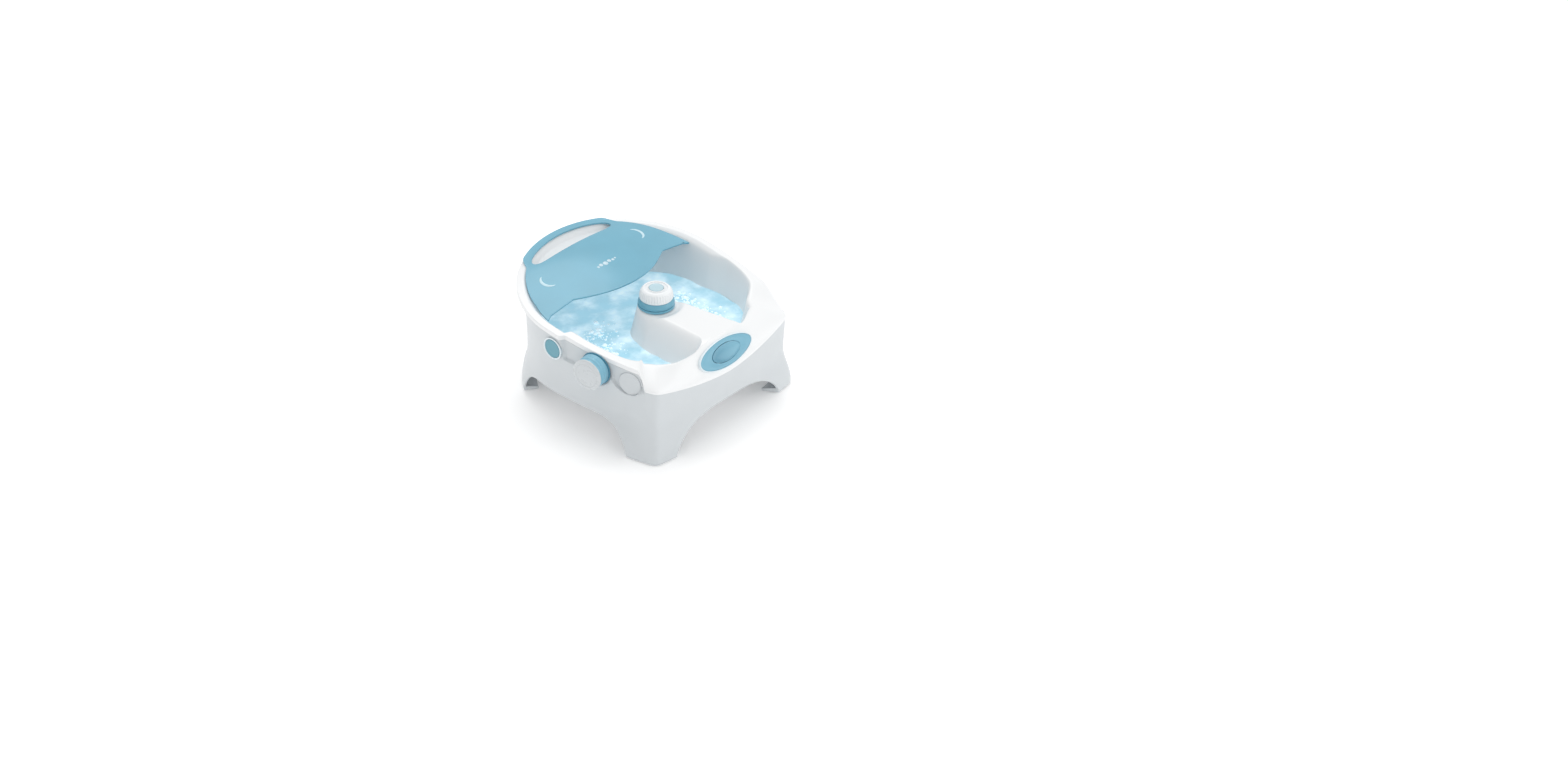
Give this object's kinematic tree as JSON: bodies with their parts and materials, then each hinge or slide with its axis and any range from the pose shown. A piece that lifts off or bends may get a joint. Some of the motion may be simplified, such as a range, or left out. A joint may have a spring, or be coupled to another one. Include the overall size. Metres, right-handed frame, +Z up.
{
  "type": "foot spa basin",
  "caption": "Foot spa basin with two foot wells, a centre ridge carrying a powered hub head, a lift-off splash guard, side docks for spare heads and a toe-operated oval control.",
  "frame": {"origin": "on the floor, in the middle of the rim's plan outline", "axes": "+Z up; -Y is the front with the oval toe control; +Y is the back with the splash guard; -X is the side with the docks"},
  "size_m": [0.3845, 0.3921, 0.1993],
  "materials": {
    "shell_white": "fine satin moulding",
    "bath_white": "smooth glossy moulding",
    "blue_plastic": "smooth light blue moulding",
    "guard_blue": "smooth light blue moulding, slightly translucent",
    "button_blue": "soft satin",
    "pale_plastic": "smooth",
    "pale_blue": "satin",
    "grey_plastic": "fine grain",
    "dark_plastic": "fine grain",
    "nylon": "satin",
    "rubber_grey": "matt",
    "rubber_black": "matt",
    "steel": "turned",
    "brass": "machined",
    "zinc": "plated",
    "alloy": "sheet",
    "board_green": "lacquered",
    "hose_clear": "soft, translucent"
  },
  "bodies": {
    "body": {"outer_housing": "shell_white", "basin": "bath_white", "base_cover": "grey_plastic", "rubber_feet": "rubber_grey", "base_screws": "zinc", "air_strips": "pale_plastic", "sole_nodes": "pale_blue", "toe_bezel": "blue_plastic", "toe_switch": "dark_plastic", "hub_collar": "blue_plastic", "spindle_seal": "rubber_black", "spindle_bearing": "brass", "drive_motor": "zinc", "motor_bracket": "zinc", "dock_cup_front": "shell_white", "dock_cup_middle": "blue_plastic", "dock_cup_rear": "pale_plastic", "heater_plates": "alloy", "thermal_cutout": "dark_plastic", "blower_casing": "dark_plastic", "blower_motor": "zinc", "air_manifolds": "grey_plastic", "air_hoses": "hose_clear", "vibration_motor": "zinc", "vibration_bracket": "zinc", "control_board": "board_green", "cord_gland": "rubber_black"},
    "button": {"toe_button": "button_blue"},
    "spindle": {"spindle": "steel", "spindle_gear": "nylon"},
    "pinion": {"motor_pinion": "brass"},
    "hub_head": {"hub_head_body": "blue_plastic", "hub_knob": "pale_plastic", "hub_disc": "pale_blue"},
    "docked_head": {"roller_head_body": "blue_plastic", "roller_head_face": "pale_plastic"},
    "docked_small_head": {"small_head": "button_blue"},
    "guard": {"splash_guard": "guard_blue"},
    "impeller": {"blower_impeller": "nylon"},
    "weight": {"vibration_weight": "brass"}
  },
  "joints": [
    {"name": "toe_button_press", "type": "slide", "parent": "body", "child": "button", "axis": [0, 0.8829, -0.4695], "range_m": [0, 0.002], "stiffness_N_per_m": 600, "springref_m": -0.001},
    {"name": "spindle_spin", "type": "hinge", "parent": "body", "child": "spindle", "pos_m": [0, -0.037, 0.12], "axis": [0, 0, 1], "continuous": true},
    {"name": "pinion_spin", "type": "hinge", "parent": "body", "child": "pinion", "pos_m": [0, -0.075, 0.104], "axis": [0, 0, 1], "continuous": true},
    {"name": "hub_head_lift", "type": "slide", "parent": "spindle", "child": "hub_head", "axis": [0, 0, 1], "range_m": [0, 0.03]},
    {"name": "docked_head_pull", "type": "slide", "parent": "body", "child": "docked_head", "axis": [-0.9905, -0.1375, 0], "range_m": [0, 0.025]},
    {"name": "small_head_pull", "type": "slide", "parent": "body", "child": "docked_small_head", "axis": [-0.9998, -0.0175, 0], "range_m": [0, 0.02]},
    {"name": "guard_lift", "type": "slide", "parent": "body", "child": "guard", "axis": [0, 0, 1], "range_m": [0, 0.06]},
    {"name": "impeller_spin", "type": "hinge", "parent": "body", "child": "impeller", "pos_m": [0, -0.127, 0.066], "axis": [0, 0, 1], "continuous": true},
    {"name": "weight_spin", "type": "hinge", "parent": "body", "child": "weight", "pos_m": [0.062, 0.066, 0.06], "axis": [0, 1, 0], "continuous": true}
  ],
  "couplings": [
    {"joint": "pinion_spin", "follows": "spindle_spin", "ratio": -2.1667}
  ]
}
